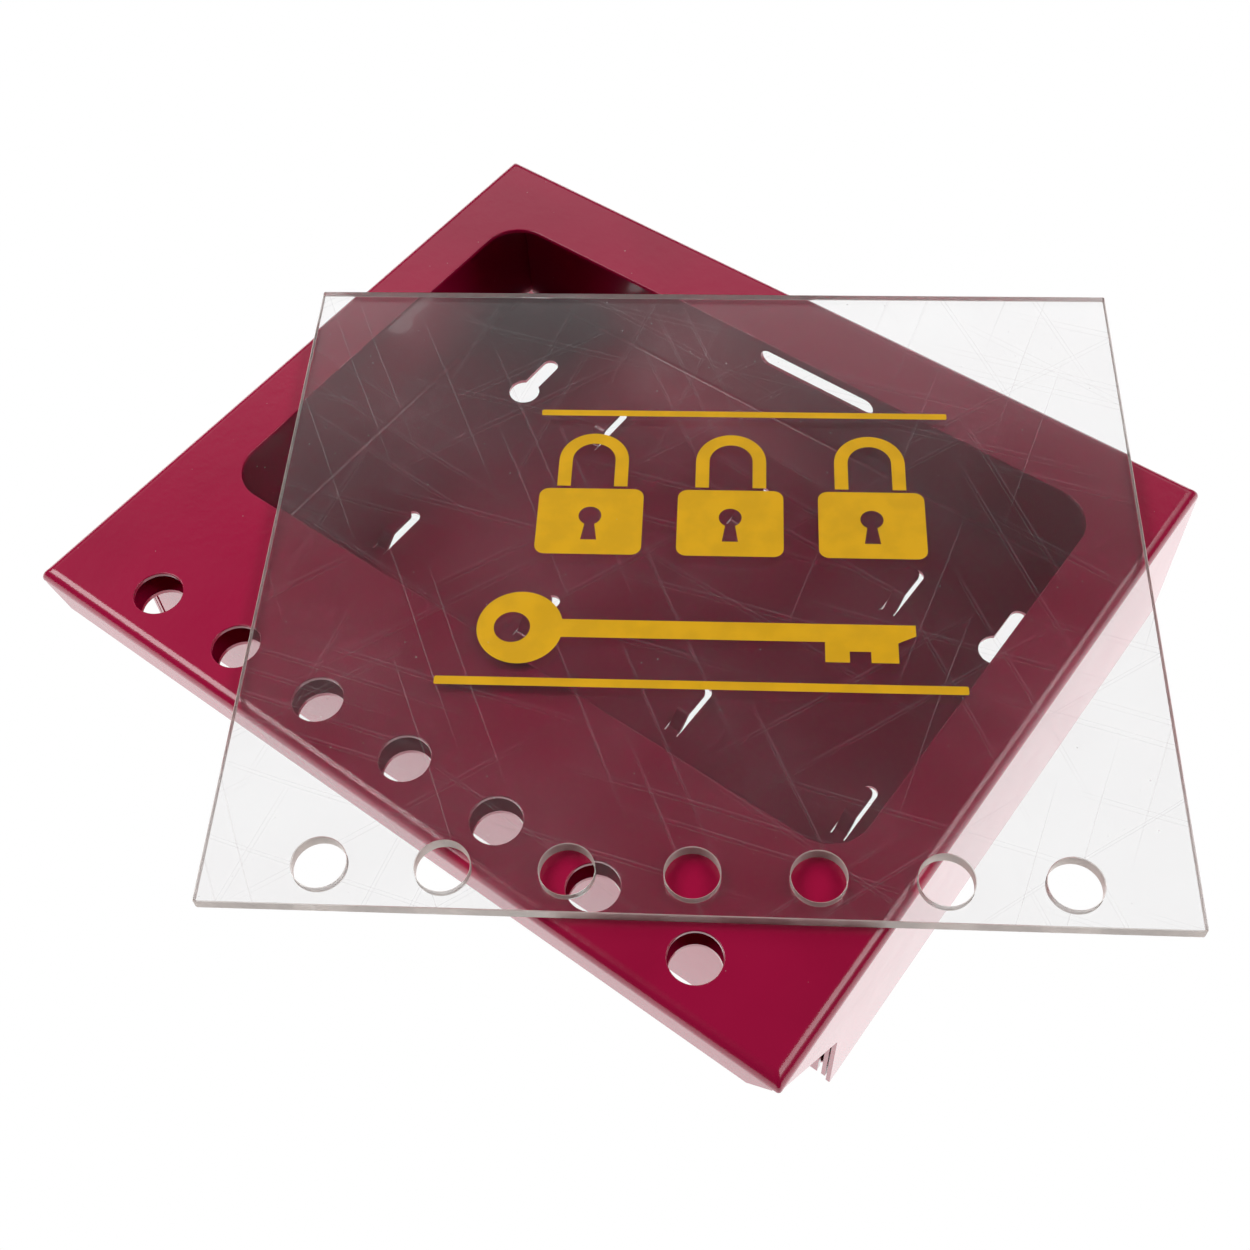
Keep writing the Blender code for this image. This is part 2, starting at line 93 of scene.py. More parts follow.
# The printed key's teeth: metres back from the tip, and half blades below the middle
KEY_TEETH = (
    (0.030, 1), (0.030, 3.2), (0.022, 3.2), (0.022, 2), (0.015, 2),
    (0.015, 3.2), (0.006, 3.2), (0.006, 1), (0.0, 0.2),
)

# Layers of fine scratches: angle, pitch of the rows, reach, width, share of rows, seed
SCRATCHES = (
    (0.30, 0.0085, 0.16, 0.00022, 0.42, 11.3),
    (0.62, 0.0120, 0.20, 0.00020, 0.35, 23.9),
    (1.18, 0.0105, 0.14, 0.00022, 0.34, 37.1),
    (1.92, 0.0140, 0.12, 0.00018, 0.30, 51.7),
    (2.55, 0.0090, 0.18, 0.00020, 0.36, 67.3),
)

# How far the rows of scratches sway in metres, and how often
SWAY = 0.004
SWAY_SCALE = 9.0

# Steps that set each row and each line of a row apart, and where a line fades in and out
ROW_SHIFT = 9.0
ROW_STEP = 3.7
CELL_STEP = 5.3
TAPER_IN = (0.05, 0.35)
TAPER_OUT = (0.55, 0.95)

# The band of light behind the box: heights and depth where it rises and falls, 1 straight up
BAND_RISE = (0.42, 0.56)
BAND_FALL = (0.62, 0.80)
BAND_BEHIND = (0.0, 0.5)

# Soft boxes: where they hang, and their width and length
LEFT_BOX = (-0.80, -0.42, 0.95)
LEFT_BOX_SIZE = (0.90, 0.70)
RIGHT_BOX = (0.80, 0.50, 0.95)
RIGHT_BOX_SIZE = (0.80, 0.80)


def length(name, description, default):
    """A size in metres for a property group."""
    return FloatProperty(
        name=name, description=description, default=default, min=0.0,
        subtype="DISTANCE", unit="LENGTH", precision=5,
    )


def share(name, description, default):
    """A share from none to all for a property group."""
    return FloatProperty(
        name=name, description=description, default=default, min=0.0, max=1.0, subtype="FACTOR"
    )


def colour(name, description, default):
    """A colour for a property group."""
    return FloatVectorProperty(
        name=name, description=description, default=default, min=0.0, max=1.0, subtype="COLOR"
    )


def level(name, description, default):
    """A brightness for a property group."""
    return FloatProperty(name=name, description=description, default=default, min=0.0)


class LockoutShellSizes(bpy.types.PropertyGroup):
    """Sizes of the folded shell."""

    width: length("Width", "Across the face", SHELL_HIGH.x - SHELL_LOW.x)
    height: length("Height", "Up the face", SHELL_HIGH.y - SHELL_LOW.y)
    depth: length("Depth", "From the wall to the face", SHELL_HIGH.z)
    sheet: length("Sheet", "Thickness of the coated sheet", 0.0015)
    bend: length("Bend", "Outer radius of the face's bends", 0.0045)
    window_side: length("Window side", "Face left beside the window", 0.0235)
    window_bottom: length("Window bottom", "Face left below the window", 0.0694)
    window_top: length("Window top", "Face left above the window", 0.0309)
    window_radius: length("Window radius", "Radius of the window's corners", 0.015)
    lip_depth: length("Lip depth", "Depth of the lip below the padlock holes", 0.0137)
    lip_mitre: length("Lip mitre", "Length of the lip's slanted ends", 0.0112)
    cut_height: length("Cut height", "Height of the shelf above the lip", 0.0345)
    cut_depth: length("Cut depth", "Depth of the side walls' slanted feet", 0.0385)
    slot_length: length("Slot length", "Length of the key slot", 0.054)
    slot_width: length("Slot width", "Width of the key slot", 0.008)
    slot_back: length("Slot back", "From the wall to the key slot's middle", 0.035)
    slot_clearance: length("Slot clearance", "Extra room of the shell's slot", 0.004)


class LockoutPadlockSizes(bpy.types.PropertyGroup):
    """Places and sizes of the padlock holes."""

    count: IntProperty(name="Holes", description="Padlock holes in a row", default=7, min=1)
    pitch: length("Pitch", "From one padlock hole to the next", 0.0381)
    diameter: length("Diameter", "Diameter of a padlock hole", 0.017)
    height: length("Height", "From the bottom edge to the row of holes", 0.0181)


class LockoutTraySizes(bpy.types.PropertyGroup):
    """Sizes of the folded tray and its lanced hooks."""

    bend: length("Bend", "Outer radius of the tray's bends", 0.003)
    rail_front: length("Rail front", "From the wall to the rail's front", RAIL_HIGH.z)
    hook_pitch: length("Hook pitch", "From one hook to the next", 0.0737)
    low_hooks: IntProperty(name="Low hooks", description="Hooks in the lower row", default=4)
    high_hooks: IntProperty(name="High hooks", description="Hooks in the upper row", default=3)
    low_height: length("Low height", "From the bottom edge to the lower row", 0.1105)
    high_drop: length("High drop", "From the top edge to the upper row", 0.062)
    hook_length: length("Slit length", "Length of the slit that a hook leaves", 0.0245)
    hook_width: length("Slit width", "Width of the slit that a hook leaves", 0.006)
    hook_offset: length("Hook offset", "How far a hook steps forward", 0.0055)
    hook_reach: length("Hook reach", "Length of a hook along the back", 0.0205)
    hook_bend: length("Hook bend", "Bend radius of a hook", 0.0025)
    keyhole_inset: length("Keyhole inset", "From the side to a keyhole", 0.040)
    keyhole_drop: length("Keyhole drop", "From the top edge to a keyhole's seat", 0.035)
    keyhole_travel: length("Keyhole travel", "From a keyhole's head to its seat", 0.018)
    keyhole_head: length("Keyhole head", "Diameter of a keyhole's head", 0.013)
    keyhole_neck: length("Keyhole neck", "Width of a keyhole's neck", 0.007)


class LockoutCoverSizes(bpy.types.PropertyGroup):
    """Sizes and place of the clear cover."""

    width: length("Width", "Along the row of padlock holes", 0.3018)
    height: length("Height", "Across the row of padlock holes", 0.260)
    thickness: length("Thickness", "Thickness of the acrylic", COVER_HIGH.z - COVER_LOW.z)
    chamfer: length("Chamfer", "Chamfer of the acrylic's edges", 0.00025)
    row: length("Hole row", "From the lower edge to the padlock holes", 0.0141)
    corner_across: length(
        "Corner across", "From the box's left side to the lower left corner", 0.1384
    )
    corner_below: length("Corner below", "The lower left corner below the box's edge", 0.0582)
    turn: FloatProperty(
        name="Turn", description="How far the cover lies turned on the face",
        default=math.radians(34.1), subtype="ANGLE", unit="ROTATION",
    )


class LockoutPrintSizes(bpy.types.PropertyGroup):
    """Places of the cover's plain print, from its lower left corner."""

    left_low: length("Lower rule left", "Left end of the lower rule", 0.0644)
    left_high: length("Upper rule left", "Left end of the upper rule", 0.0910)
    right: length("Right", "Right end of both rules", 0.2382)
    low: length("Lower rule", "Height of the lower rule", 0.0809)
    high: length("Upper rule", "Height of the upper rule", 0.1981)
    thin: length("Thin rule", "Width of the upper rule", 0.0027)
    thick: length("Thick rule", "Width of the lower rule", 0.0032)


class LockoutFinishes(bpy.types.PropertyGroup):
    """Colours and surface of the finishes."""

    coat: colour("Coat", "Crimson powder coat", (0.43, 0.0035, 0.054))
    coat_deep: colour("Deep coat", "Powder coat where it lies thickest", (0.38, 0.0028, 0.046))
    coat_roughness: share("Coat roughness", "Roughness of the powder coat", 0.20)
    peel: share("Orange peel", "Strength of the powder coat's orange peel", 0.10)
    dust: colour("Dust", "Dust and lint on the surfaces", (0.62, 0.50, 0.50))
    acrylic: colour("Acrylic", "Tint of the clear acrylic", (0.995, 0.995, 0.995))
    haze: share("Haze", "Milkiness of the worn acrylic", 0.034)
    sawn: colour("Sawn edge", "Frosted edges of the acrylic", (0.93, 0.83, 0.77))
    ink: colour("Ink", "Yellow print", (0.94, 0.50, 0.001))


class LockoutStudio(bpy.types.PropertyGroup):
    """Brightness of the floor, the sky and the soft box."""

    floor: level("Floor", "Brightness of the pale floor as it is seen", 1.0)
    floor_glow: level("Floor glow", "Brightness of the pale floor in reflections", 1.5)
    floor_fill: level("Floor fill", "Light that the floor gives back to the object", 1.2)
    sky: level("Sky", "Brightness of the dim studio", 0.03)
    band: level("Band", "Brightness of the low band of light behind the box", 1.0)
    left_box: level("Left box", "Power of the soft box above the left, in watts", 11.0)
    right_box: level("Right box", "Power of the soft box above the right, in watts", 7.0)


class Link:
    """An output of a shader node; sums and products on it add Math nodes."""

    def __init__(self, finish, socket):
        self.finish = finish
        self.socket = socket

    def math(self, operation, *others):
        """One Math node with this output first."""
        values = {index: value for index, value in enumerate((self, *others))}
        return self.finish.node("ShaderNodeMath", {"operation": operation}, values)

    def __add__(self, other):
        return self.math("ADD", other)

    def __sub__(self, other):
        return self.math("SUBTRACT", other)

    def __mul__(self, other):
        return self.math("MULTIPLY", other)

    def __truediv__(self, other):
        return self.math("DIVIDE", other)

    def __rsub__(self, other):
        return self.finish.node("ShaderNodeMath", {"operation": "SUBTRACT"}, {0: other, 1: self})

    __radd__ = __add__
    __rmul__ = __mul__

    def between(self, low, high):
        """From 0 to 1 while the value goes from low to high, eased at both ends."""
        settings = {"interpolation_type": "SMOOTHSTEP"}
        return self.finish.node("ShaderNodeMapRange", settings, {0: self, 1: low, 2: high})


class Finish:
    """A material or world whose nodes are added one at a time."""

    def __init__(self, owner):
        owner.use_nodes = True
        self.tree = owner.node_tree
        self.tree.nodes.clear()

    def node(self, kind, settings=None, values=None, output=0):
        """Adds a node: its settings first, then values or links into its sockets."""
        made = self.tree.nodes.new(kind)
        for name, value in (settings or {}).items():
            if name == "stops":
                for element, (place, tone) in zip(made.color_ramp.elements, value):
                    element.position = place
                    element.color = tone
            else:
                setattr(made, name, value)
        for name, value in (values or {}).items():
            if isinstance(value, Link):
                self.tree.links.new(value.socket, made.inputs[name])
            else:
                made.inputs[name].default_value = value
        return Link(self, made.outputs[output]) if made.outputs else None

    def noise(self, place, scale, detail=2.0):
        """A noise of a scale, in features per metre."""
        values = {"Vector": place, "Scale": scale, "Detail": detail}
        return self.node("ShaderNodeTexNoise", None, values)

    def mix(self, share_of_second, first, second):
        """Two colours mixed by a share."""
        settings = {"data_type": "RGBA"}
        return self.node("ShaderNodeMix", settings, {0: share_of_second, 6: first, 7: second}, 2)

    def specks(self, place, scale, size, kept):
        """Small round specks in some of the cells of a scale."""
        values = {"Vector": place, "Scale": scale}
        distance = self.node("ShaderNodeTexVoronoi", None, values, "Distance")
        cell = self.node("ShaderNodeTexVoronoi", None, values, "Color")
        chosen = self.node("ShaderNodeSeparateColor", None, {"Color": cell})
        return (1 - distance.between(size * 0.6, size)) * chosen.math("LESS_THAN", kept)

    def chance(self, value, seed):
        """A random number from 0 to 1 that stays the same along a row."""
        settings = {"noise_dimensions": "1D"}
        return self.node("ShaderNodeTexWhiteNoise", settings, {"W": value + seed})

    def scratches(self, place, angle, pitch, reach, width, kept, seed):
        """Long fine lines along an angle: rows of a pitch, each line with its own start."""
        settings = {"rotation_type": "Z_AXIS"}
        turned = self.node("ShaderNodeVectorRotate", settings, {"Vector": place, "Angle": angle})
        along = self.node("ShaderNodeSeparateXYZ", None, {0: turned}, "X")
        across = self.node("ShaderNodeSeparateXYZ", None, {0: turned}, "Y") / pitch
        across = across + self.noise(turned, SWAY_SCALE, 1.0) * (SWAY / pitch)
        row = across.math("FLOOR")
        travel = along / reach + self.chance(row, seed) * ROW_SHIFT
        cell = travel.math("FLOOR")
        mark = row * ROW_STEP + cell * CELL_STEP
        shown = self.chance(mark, seed + 0.5).math("LESS_THAN", kept)
        part = travel.math("FRACT")
        ends = part.between(*TAPER_IN) * (1 - part.between(*TAPER_OUT))
        line = 1 - (across.math("FRACT") - 0.5).math("ABSOLUTE").between(0.0, width / pitch)
        return line * shown * ends


def four(tone):
    """A colour with full alpha."""
    return (*tone, 1.0)


def coat_finish(finishes):
    """Gloss crimson powder coat: orange peel, slow colour drift and a little dust."""
    material = bpy.data.materials.new("gloss_crimson_coat")
    coat = Finish(material)
    place = coat.node("ShaderNodeTexCoord", None, None, "Object")
    drift = coat.noise(place, 14.0, 3.0).between(0.35, 0.65)
    tone = coat.mix(drift, four(finishes.coat_deep), four(finishes.coat))
    dust = coat.specks(place, 130.0, 0.055, 0.16) + coat.specks(place, 420.0, 0.09, 0.05)
    dust = dust.math("MINIMUM", 1.0) * 0.55
    tone = coat.mix(dust, tone, four(finishes.dust))
    peel = coat.noise(place, 620.0, 2.0) + coat.noise(place, 210.0, 1.0) * 1.5
    bumped = coat.node(
        "ShaderNodeBump", None,
        {"Strength": finishes.peel, "Distance": 0.0004, "Height": peel},
    )
    gloss = finishes.coat_roughness + coat.noise(place, 45.0, 3.0) * 0.06 + dust * 0.5
    shader = coat.node(
        "ShaderNodeBsdfPrincipled", None,
        {
            "Base Color": tone, "Roughness": gloss, "Normal": bumped, "IOR": 1.5,
            "Coat Weight": 0.35, "Coat Roughness": 0.07,
        },
    )
    coat.node("ShaderNodeOutputMaterial", None, {"Surface": shader})
    return material


def acrylic_finish(finishes):
    """Clear acrylic that has been slid in and out: light haze, fine scratches and dust."""
    material = bpy.data.materials.new("worn_clear_acrylic")
    clear = Finish(material)
    place = clear.node("ShaderNodeTexCoord", None, None, "Object")
    lines = None
    for angle, pitch, reach, width, kept, seed in SCRATCHES:
        more = clear.scratches(place, angle, pitch, reach, width, kept, seed)
        lines = more if lines is None else lines + more
    dust = clear.specks(place, 150.0, 0.05, 0.22) + clear.specks(place, 460.0, 0.09, 0.06)
    cloud = clear.noise(place, 20.0, 4.0).between(0.3, 0.8)
    bumped = clear.node(
        "ShaderNodeBump", None,
        {"Strength": 0.06, "Distance": 0.0001, "Height": clear.noise(place, 60.0, 2.0)},
    )
    glass = clear.node(
        "ShaderNodeBsdfPrincipled", None,
        {
            "Base Color": four(finishes.acrylic), "Roughness": 0.02, "IOR": 1.49,
            "Transmission Weight": 1.0, "Normal": bumped,
        },
    )
    veil = clear.node("ShaderNodeBsdfDiffuse", None, {"Color": (0.86, 0.72, 0.76, 1.0)})
    amount = finishes.haze * (0.6 + cloud * 0.8) + lines * 0.14 + dust * 0.35
    surface = clear.node(
        "ShaderNodeMixShader", None, {0: amount.math("MINIMUM", 0.6), 1: glass, 2: veil}
    )
    clear.node("ShaderNodeOutputMaterial", None, {"Surface": surface})
    return material


def acrylic_edge_finish(finishes):
    """The acrylic's sawn and polished edges, a little frosted, with fine saw lines."""
    material = bpy.data.materials.new("sawn_acrylic_edge")
    edge = Finish(material)
    place = edge.node("ShaderNodeTexCoord", None, None, "Object")
    saw = edge.noise(place, 900.0, 2.0)
    values = {"Strength": 0.25, "Distance": 0.0001, "Height": saw}
    bumped = edge.node("ShaderNodeBump", None, values)
    clear = edge.node(
        "ShaderNodeBsdfPrincipled", None,
        {
            "Base Color": four(finishes.acrylic), "Roughness": 0.22, "IOR": 1.49,
            "Transmission Weight": 1.0, "Normal": bumped,
        },
    )
    values = {"Color": four(finishes.sawn), "Normal": bumped}
    frost = edge.node("ShaderNodeBsdfDiffuse", None, values)
    share_frosted = 0.45 + edge.noise(place, 160.0, 3.0) * 0.30
    surface = edge.node("ShaderNodeMixShader", None, {0: share_frosted, 1: clear, 2: frost})
    edge.node("ShaderNodeOutputMaterial", None, {"Surface": surface})
    return material


def ink_finish(finishes):
    """Screen-printed yellow ink, slightly uneven."""
    material = bpy.data.materials.new("yellow_ink")
    ink = Finish(material)
    place = ink.node("ShaderNodeTexCoord", None, None, "Object")
    drift = ink.noise(place, 90.0, 4.0).between(0.35, 0.65)
    worn = tuple(part * 0.90 for part in finishes.ink)
    tone = ink.mix(drift, four(worn), four(finishes.ink))
    specks = ink.specks(place, 300.0, 0.10, 0.06)
    tone = ink.mix(specks * 0.6, tone, (0.80, 0.62, 0.22, 1.0))
    bumped = ink.node(
        "ShaderNodeBump", None,
        {"Strength": 0.15, "Distance": 0.0001, "Height": ink.noise(place, 1500.0, 2.0)},
    )
    gloss = 0.34 + ink.noise(place, 70.0, 2.0) * 0.12
    shader = ink.node(
        "ShaderNodeBsdfPrincipled", None,
        {"Base Color": tone, "Roughness": gloss, "IOR": 1.48, "Normal": bumped},
    )
    ink.node("ShaderNodeOutputMaterial", None, {"Surface": shader})
    return material


def finish_named(name, make):
    """A finish that several pieces share, made once."""
    return bpy.data.materials.get(name) or make(bpy.context.scene.lockout_finishes)


def arc(centre, radius, start, end, steps):
    """Points along an arc, from one angle to another, both included."""
    points = []
    for step in range(steps + 1):
        angle = start + (end - start) * step / steps
        points.append((centre[0] + radius * math.cos(angle), centre[1] + radius * math.sin(angle)))
    return points


def circle(centre, radius):
    """A round hole's outline."""
    return arc(centre, radius, 0, 2 * math.pi, HOLE_STEPS)[:-1]


def rounded_rectangle(low, high, radius, steps):
    """An outline between two corners, its own corners rounded."""
    quarter = math.pi / 2
    centres = [
        (high[0] - radius, high[1] - radius), (low[0] + radius, high[1] - radius),
        (low[0] + radius, low[1] + radius), (high[0] - radius, low[1] + radius),
    ]
    points = []
    for index, centre in enumerate(centres):
        points += arc(centre, radius, index * quarter, (index + 1) * quarter, steps)
    return points


def grown(outline, amount):
    """An outline moved outwards along its corners by an amount."""
    points = []
    for index, point in enumerate(outline):
        here = Vector(point)
        before = (here - Vector(outline[index - 1])).normalized()
        after = (Vector(outline[(index + 1) % len(outline)]) - here).normalized()
        out_before = Vector((before.y, -before.x))
        out_after = Vector((after.y, -after.x))
        bisector = (out_before + out_after).normalized()
        points.append(tuple(here + bisector * amount / bisector.dot(out_after)))
    return points


def bent_path(corners, radius, steps):
    """A sheet's middle line through its corners, each corner rounded to a radius."""
    points = [Vector(corners[0])]
    for before, corner, after in zip(corners, corners[1:], corners[2:]):
        corner = Vector(corner)
        inward = (Vector(before) - corner).normalized()
        outward = (Vector(after) - corner).normalized()
        half = inward.angle(outward) / 2
        reach = radius / math.tan(half)
        centre = corner + (inward + outward).normalized() * radius / math.sin(half)
        start = corner + inward * reach - centre
        turn = start.angle_signed(corner + outward * reach - centre)
        for step in range(steps + 1):
            points.append(centre + Matrix.Rotation(turn * -step / steps, 2) @ start)
    points.append(Vector(corners[-1]))
    return points


def placed(point, height, plane):
    """A point of a drawing plane, lifted off it, in the box's own frame."""
    across, up = point
    return {
        "XY": (across, up, height), "YZ": (height, across, up), "XZ": (across, height, up),
    }[plane]


def add_loft(bm, rings, plane="XY"):
    """A closed body through rings of points; each ring is (outline, height)."""
    loops = []
    for outline, height in rings:
        loops.append([bm.verts.new(placed(point, height, plane)) for point in outline])
    count = len(loops[0])
    for lower, upper in zip(loops, loops[1:]):
        for index in range(count):
            following = (index + 1) % count
            bm.faces.new((lower[index], lower[following], upper[following], upper[index]))
    bm.faces.new(loops[0][::-1])
    bm.faces.new(loops[-1])


def add_prism(bm, outline, low, high, plane="XY"):
    """A straight body with one outline."""
    add_loft(bm, [(outline, low), (outline, high)], plane)


def new_object(name, bm, *materials):
    """An object from a finished bmesh, its faces turned outwards."""
    bmesh.ops.recalc_face_normals(bm, faces=bm.faces)
    mesh = bpy.data.meshes.new(name)
    bm.to_mesh(mesh)
    bm.free()
    for material in materials:
        mesh.materials.append(material)
    made = bpy.data.objects.new(name, mesh)
    bpy.context.scene.collection.objects.link(made)
    return made


def settle(target):
    """Turns an object's modifiers into mesh."""
    view = bpy.context.evaluated_depsgraph_get()
    result = bpy.data.meshes.new_from_object(target.evaluated_get(view), depsgraph=view)
    target.modifiers.clear()
    target.data = result


def cut(target, bm):
    """Takes the bodies in a bmesh out of an object."""
    tool = new_object("cutter", bm)
    boolean = target.modifiers.new("cut", "BOOLEAN")
    boolean.operation = "DIFFERENCE"
    boolean.object = tool
    settle(target)
    bpy.data.objects.remove(tool, do_unlink=True)


def shade(target, ease=0.0):
    """Rounds the cut edges as the coating leaves them, and keeps the flats flat in reflections."""
    bm = bmesh.new()
    bm.from_mesh(target.data)
    bmesh.ops.remove_doubles(bm, verts=bm.verts, dist=0.000001)
    bmesh.ops.dissolve_degenerate(bm, edges=bm.edges, dist=0.000001)
    bm.to_mesh(target.data)
    bm.free()
    if ease:
        bevel = target.modifiers.new("eased_edges", "BEVEL")
        bevel.width = ease
        bevel.segments = 2
        bevel.limit_method = "ANGLE"
        bevel.angle_limit = math.radians(50)
        bevel.use_clamp_overlap = True
        settle(target)
    target.data.shade_smooth()
    target.data.set_sharp_from_angle(angle=SMOOTH_BELOW)
    weighted = target.modifiers.new("flat_flats", "WEIGHTED_NORMAL")
    weighted.keep_sharp = True
    weighted.weight = 100


def dress(piece, body, slot, *nodes):
    """Lets a piece ride on its body and stand for its nodes; the slot is not used."""
    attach(piece, body)
    if nodes:
        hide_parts(*nodes)


def lock_places(locks):
    """The padlock holes' distances from the middle, left to right."""
    first = -locks.pitch * (locks.count - 1) / 2
    return [first + locks.pitch * index for index in range(locks.count)]


def pan_rings(half_width, low, high, front, bend, back):
    """Rings of a box whose front edges are bent to a radius."""
    rings = []
    insets = [(0, back)]
    for step in range(BEND_STEPS + 1):
        angle = math.pi / 2 * step / BEND_STEPS
        insets.append((bend * (1 - math.cos(angle)), front - bend * (1 - math.sin(angle))))
    for inset, height in insets:
        corners = (-half_width + inset, low + inset), (half_width - inset, high - inset)
        rings.append((rounded_rectangle(*corners, SHELL_CORNER, CORNER_STEPS), height))
    return rings


def eased_cut_rings(outline, low, high):
    """Rings of a cut whose front edge the coating rounds."""
    rings = [(outline, low)]
    for step in range(EASE_STEPS + 1):
        angle = math.pi / 2 * step / EASE_STEPS
        out = COATED_EDGE * (1 - math.cos(angle))
        drop = COATED_EDGE * (1 - math.sin(angle))
        rings.append((grown(outline, out) if out else outline, high - drop))
    rings.append((grown(outline, COATED_EDGE), high + OVERRUN))
    return rings


def slot_outline(shell, clearance):
    """The key slot's outline on a wall."""
    radius = shell.slot_width / 2 + clearance
    half = shell.slot_length / 2 + clearance
    low = (-half, shell.slot_back - radius)
    return rounded_rectangle(low, (half, shell.slot_back + radius), radius, END_STEPS)


class LOCKOUT_OT_shell(bpy.types.Operator):
    """Folded front shell with its window, padlock holes, slanted feet and mitred lip"""

    bl_idname = "lockout.shell"
    bl_label = "Front shell"

    def execute(self, context):
        shell = context.scene.lockout_shell
        locks = context.scene.lockout_locks
        half, top = shell.width / 2, shell.height / 2
        bm = bmesh.new()
        add_loft(bm, pan_rings(half, -top, top, shell.depth, shell.bend, WALL_BACK_GAP))
        skin = new_object("shell_skin", bm, finish_named("gloss_crimson_coat", coat_finish))
        inner = shell.sheet
        bm = bmesh.new()
        add_loft(bm, pan_rings(
            half - inner, -top + inner, top - inner, shell.depth - inner,
            shell.bend - inner, WALL_BACK_GAP - OVERRUN,
        ))
        cut(skin, bm)
        self.cut_walls(skin, shell, half, top)
        self.cut_face(skin, shell, locks, half, top)
        bm = bmesh.new()
        slot = slot_outline(shell, shell.slot_clearance)
        add_prism(bm, slot, top - inner - OVERRUN / 4, top + OVERRUN, "XZ")
        cut(skin, bm)
        shade(skin)
        dress(skin, "shell", "crimson_coat", *SHELL_NODES)
        return {"FINISHED"}

    def cut_walls(self, skin, shell, half, top):
        """The side walls' slanted feet, then the lip's depth and mitred ends."""
        front = shell.depth - shell.bend
        shelf = shell.cut_height - top
        back = WALL_BACK_GAP - OVERRUN
        foot = [
            (-top - OVERRUN, front), (-top + shell.sheet + FOOT_RISE, front),
            (shelf, shell.depth - shell.cut_depth), (shelf, back), (-top - OVERRUN, back),
        ]
        bm = bmesh.new()
        for side in (-1, 1):
            wall = sorted((side * (half + OVERRUN), side * (half - shell.sheet - OVERRUN)))
            add_prism(bm, foot, *wall, "YZ")
        cut(skin, bm)
        lip = shell.depth - shell.lip_depth
        right = [
            (half + OVERRUN, back), (half + OVERRUN, front),
            (half - shell.sheet, front), (half - shell.lip_mitre, lip),
        ]
        left = [(-across, up) for across, up in reversed(right)]
        bm = bmesh.new()
        add_prism(bm, right + left, -top - OVERRUN, -top + shell.sheet + COATED_EDGE, "XZ")
        cut(skin, bm)

    def cut_face(self, skin, shell, locks, half, top):
        """The window and the padlock holes, with edges that the coating rounds."""
        low = (shell.window_side - half, shell.window_bottom - top)
        high = (half - shell.window_side, top - shell.window_top)
        outlines = [rounded_rectangle(low, high, shell.window_radius, END_STEPS)]
        for across in lock_places(locks):
            outlines.append(circle((across, locks.height - top), locks.diameter / 2))
        bm = bmesh.new()
        for outline in outlines:
            add_loft(bm, eased_cut_rings(outline, shell.depth - shell.sheet - OVERRUN, shell.depth))
        cut(skin, bm)


